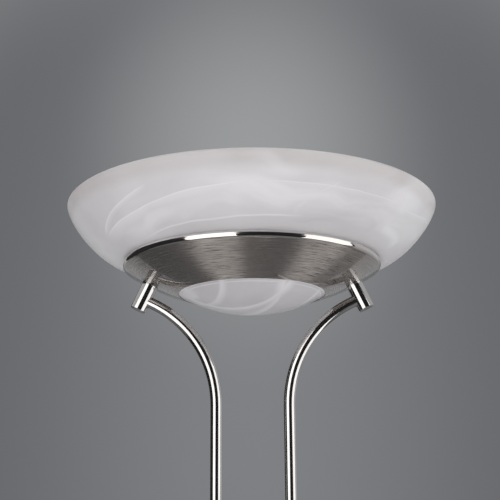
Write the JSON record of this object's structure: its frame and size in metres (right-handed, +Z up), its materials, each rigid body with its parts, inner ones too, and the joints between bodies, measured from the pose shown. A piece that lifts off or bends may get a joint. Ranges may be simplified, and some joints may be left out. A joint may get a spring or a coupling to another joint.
{
  "type": "torchiere floor lamp with reading light",
  "caption": "Floor lamp with a shallow alabaster glass bowl on a brushed nickel pan, parallel tubes that part under the bowl, a round base and an arched reading arm with a glass shade.",
  "frame": {"origin": "centre of the base's underside, on the floor", "axes": "+Z up along the stem's centre line, +X to the right as seen from the front, -Y towards the front, where the dimmer knobs and the reading arm are"},
  "size_m": [0.3802, 0.6023, 1.8],
  "materials": {
    "alabaster_glass": "frosted, marbled white alabaster glass",
    "clear_glass": "clear quartz",
    "opal_glass": "opal white, satin",
    "brushed_nickel": "satin nickel, brushed round the axis",
    "polished_nickel": "polished nickel plate",
    "zinc_steel": "bright zinc plate",
    "brass": "plain turned brass",
    "cast_iron": "rough cast, dark primer",
    "rubber": "matt black",
    "felt": "black felt",
    "ceramic": "unglazed white steatite",
    "black_plastic": "moulded, fine grain"
  },
  "bodies": {
    "stem": {"base_pad": "felt", "base_weight": "cast_iron", "base_cover": "brushed_nickel", "cable_gland": "rubber", "base_socket_left": "polished_nickel", "base_socket_right": "polished_nickel", "base_washers": "zinc_steel", "base_nuts": "zinc_steel", "base_nipples": "brass", "tube_lower_left": "polished_nickel", "tube_lower_right": "polished_nickel", "tube_middle_left": "polished_nickel", "tube_middle_right": "polished_nickel", "tube_upper_left": "polished_nickel", "tube_upper_right": "polished_nickel", "tube_couplers": "polished_nickel", "dimmer_box": "brushed_nickel", "box_lid": "brushed_nickel", "box_screws": "zinc_steel", "dimmer_main": "black_plastic", "dimmer_reading": "black_plastic", "bushing_nuts": "zinc_steel", "arm_bar": "brushed_nickel", "bar_screws": "zinc_steel", "knuckle_left": "polished_nickel", "knuckle_right": "polished_nickel", "pan": "brushed_nickel", "seat_ring": "zinc_steel", "lower_glass": "alabaster_glass", "bowl_pads": "rubber", "head_washers": "zinc_steel", "head_nuts": "zinc_steel", "head_nipples": "brass", "lamp_bracket": "zinc_steel", "lamp_blocks": "ceramic", "block_screws": "zinc_steel", "halogen_lamp": "clear_glass"},
    "bowl": {"bowl": "alabaster_glass"},
    "main_knob": {"knob_main": "polished_nickel", "spindle_main": "zinc_steel"},
    "reading_knob": {"knob_reading": "polished_nickel", "spindle_reading": "zinc_steel"},
    "post": {"arm_post": "polished_nickel", "post_nut": "zinc_steel", "arm_pivot": "polished_nickel"},
    "arm": {"arm_eye": "polished_nickel", "arm_tube": "polished_nickel", "head_fork": "polished_nickel", "head_pivot": "polished_nickel"},
    "reading_head": {"reading_cap": "brushed_nickel", "reading_holder": "ceramic", "reading_bulb": "opal_glass", "reading_shade": "alabaster_glass", "shade_ring": "brushed_nickel"}
  },
  "joints": [
    {"name": "bowl_lift", "type": "slide", "parent": "stem", "child": "bowl", "axis": [0, 0, 1], "range_m": [0, 0.04]},
    {"name": "main_dimmer", "type": "hinge", "parent": "stem", "child": "main_knob", "pos_m": [-0.013, -0.025, 1.176], "axis": [0, 1, 0], "range_deg": [-140, 140]},
    {"name": "reading_dimmer", "type": "hinge", "parent": "stem", "child": "reading_knob", "pos_m": [0.013, -0.025, 1.176], "axis": [0, 1, 0], "range_deg": [-140, 140]},
    {"name": "arm_swivel", "type": "hinge", "parent": "stem", "child": "post", "pos_m": [0, -0.026, 1.32], "axis": [0, 0, 1], "range_deg": [-100, 100]},
    {"name": "arm_tilt", "type": "hinge", "parent": "post", "child": "arm", "pos_m": [0, -0.026, 1.341], "axis": [-1, 0, 0], "range_deg": [-30, 40]},
    {"name": "head_tilt", "type": "hinge", "parent": "arm", "child": "reading_head", "pos_m": [0, -0.35417, 1.37146], "axis": [1, 0, 0], "range_deg": [-60, 45]}
  ]
}
